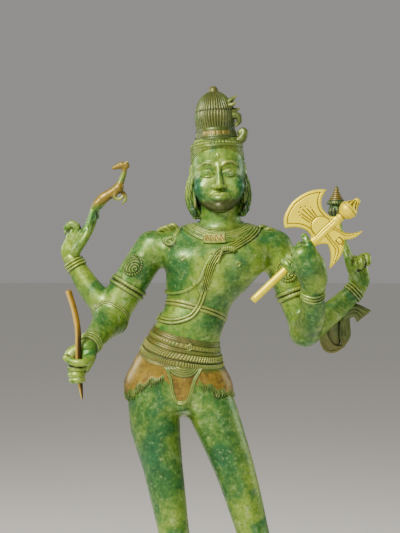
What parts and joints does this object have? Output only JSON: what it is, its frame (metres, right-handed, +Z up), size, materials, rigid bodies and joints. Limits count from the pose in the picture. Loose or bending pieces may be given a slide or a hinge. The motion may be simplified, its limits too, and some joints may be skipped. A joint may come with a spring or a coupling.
{
  "type": "shiva figure",
  "caption": "Standing multi-armed bronze figure with green patina, bent at neck, waist and knee, gripping a loose axe and a curved rod, on a low round lotus pedestal.",
  "frame": {"origin": "centre of the lotus pedestal's underside", "axes": "+Z up, the figure faces -Y, +X to the viewer's right"},
  "size_m": [0.4129, 0.244, 0.9183],
  "materials": {
    "patinated_bronze": "waxed mottled green patina, rubbed gold-brown on the hips and ridges",
    "base_bronze": "waxed dark green patina",
    "polished_brass": "polished, with darkened engraved lines"
  },
  "bodies": {
    "root": {"lotus_pedestal": "base_bronze", "figure": "patinated_bronze", "axe": "polished_brass", "curved_rod": "polished_brass"}
  },
  "joints": []
}
